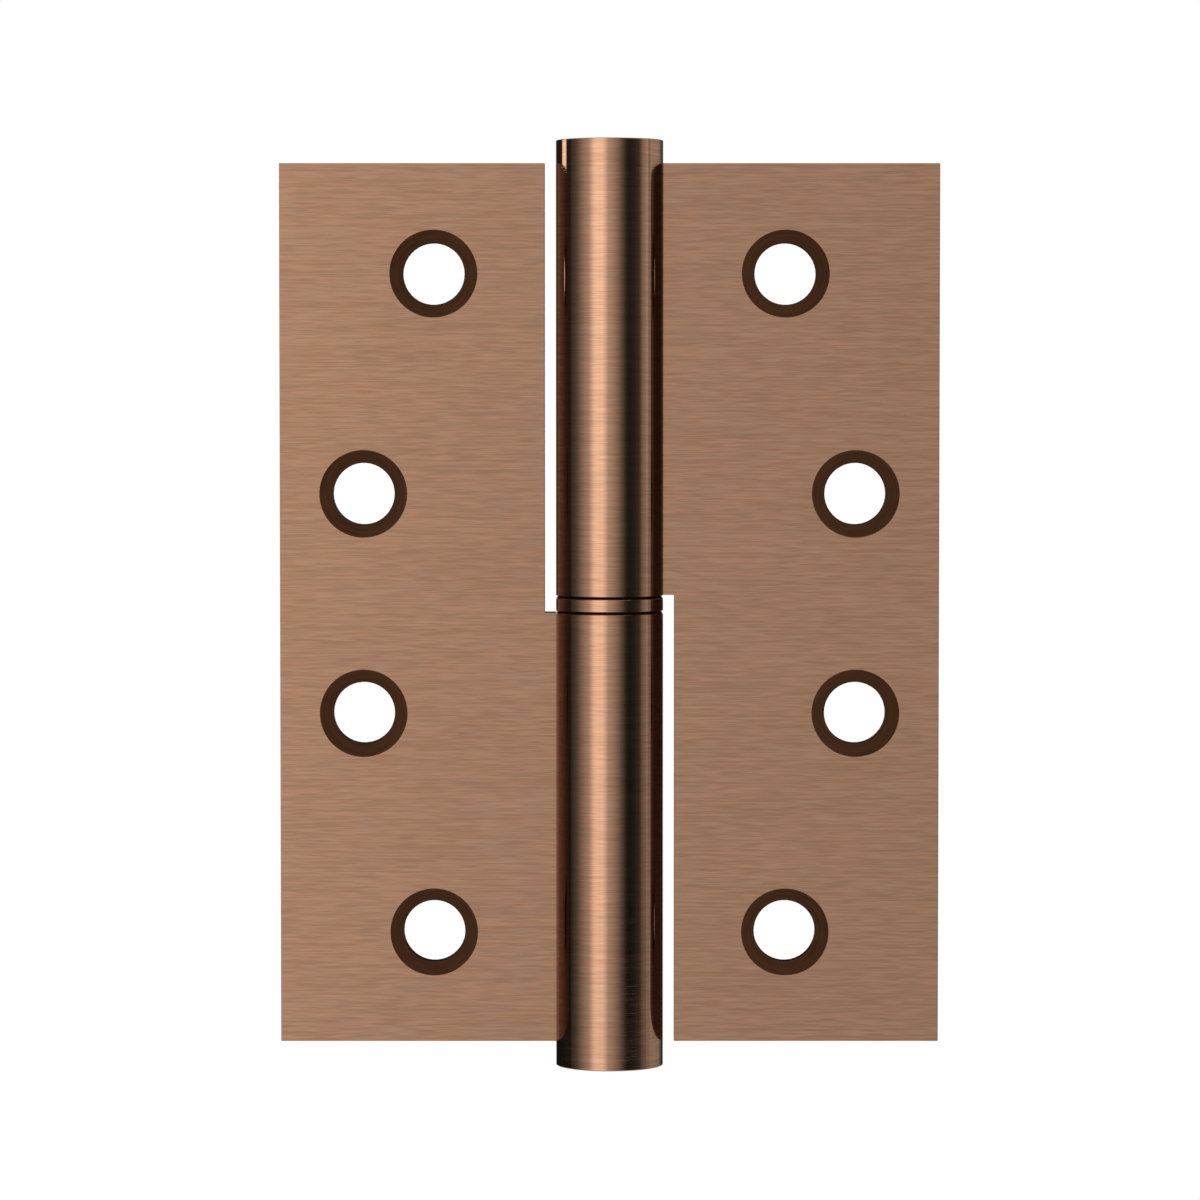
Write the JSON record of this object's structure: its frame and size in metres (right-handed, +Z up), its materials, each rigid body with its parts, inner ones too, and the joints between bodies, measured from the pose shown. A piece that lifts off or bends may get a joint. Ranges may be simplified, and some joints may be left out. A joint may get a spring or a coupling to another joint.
{
  "type": "lift-off hinge",
  "caption": "Lift-off butt hinge for a door, with flat leaves, countersunk screw holes and a round barrel; the upper knuckle turns on the fixed pin and lifts off it.",
  "frame": {"origin": "on the pin's axis, halfway up the barrel", "axes": "+Z up along the pin, +X towards the door leaf's outer edge, +Y into the door and frame, away from the screw faces"},
  "size_m": [0.075, 0.0122, 0.105],
  "materials": {
    "antique_copper": "brushed, antique copper plated",
    "pin_steel": "ground"
  },
  "bodies": {
    "frame_half": {"frame_leaf": "antique_copper", "hinge_pin": "pin_steel", "bottom_plug": "antique_copper"},
    "washer": {"thrust_washer": "antique_copper"},
    "door_half": {"door_leaf": "antique_copper", "top_plug": "antique_copper"}
  },
  "joints": [
    {"name": "leaf_swing", "type": "hinge", "parent": "frame_half", "child": "washer", "pos_m": [0, 0, 0], "axis": [0, 0, 1], "range_deg": [-180, 120]},
    {"name": "leaf_lift", "type": "slide", "parent": "washer", "child": "door_half", "axis": [0, 0, 1], "range_m": [0, 0.045]}
  ]
}
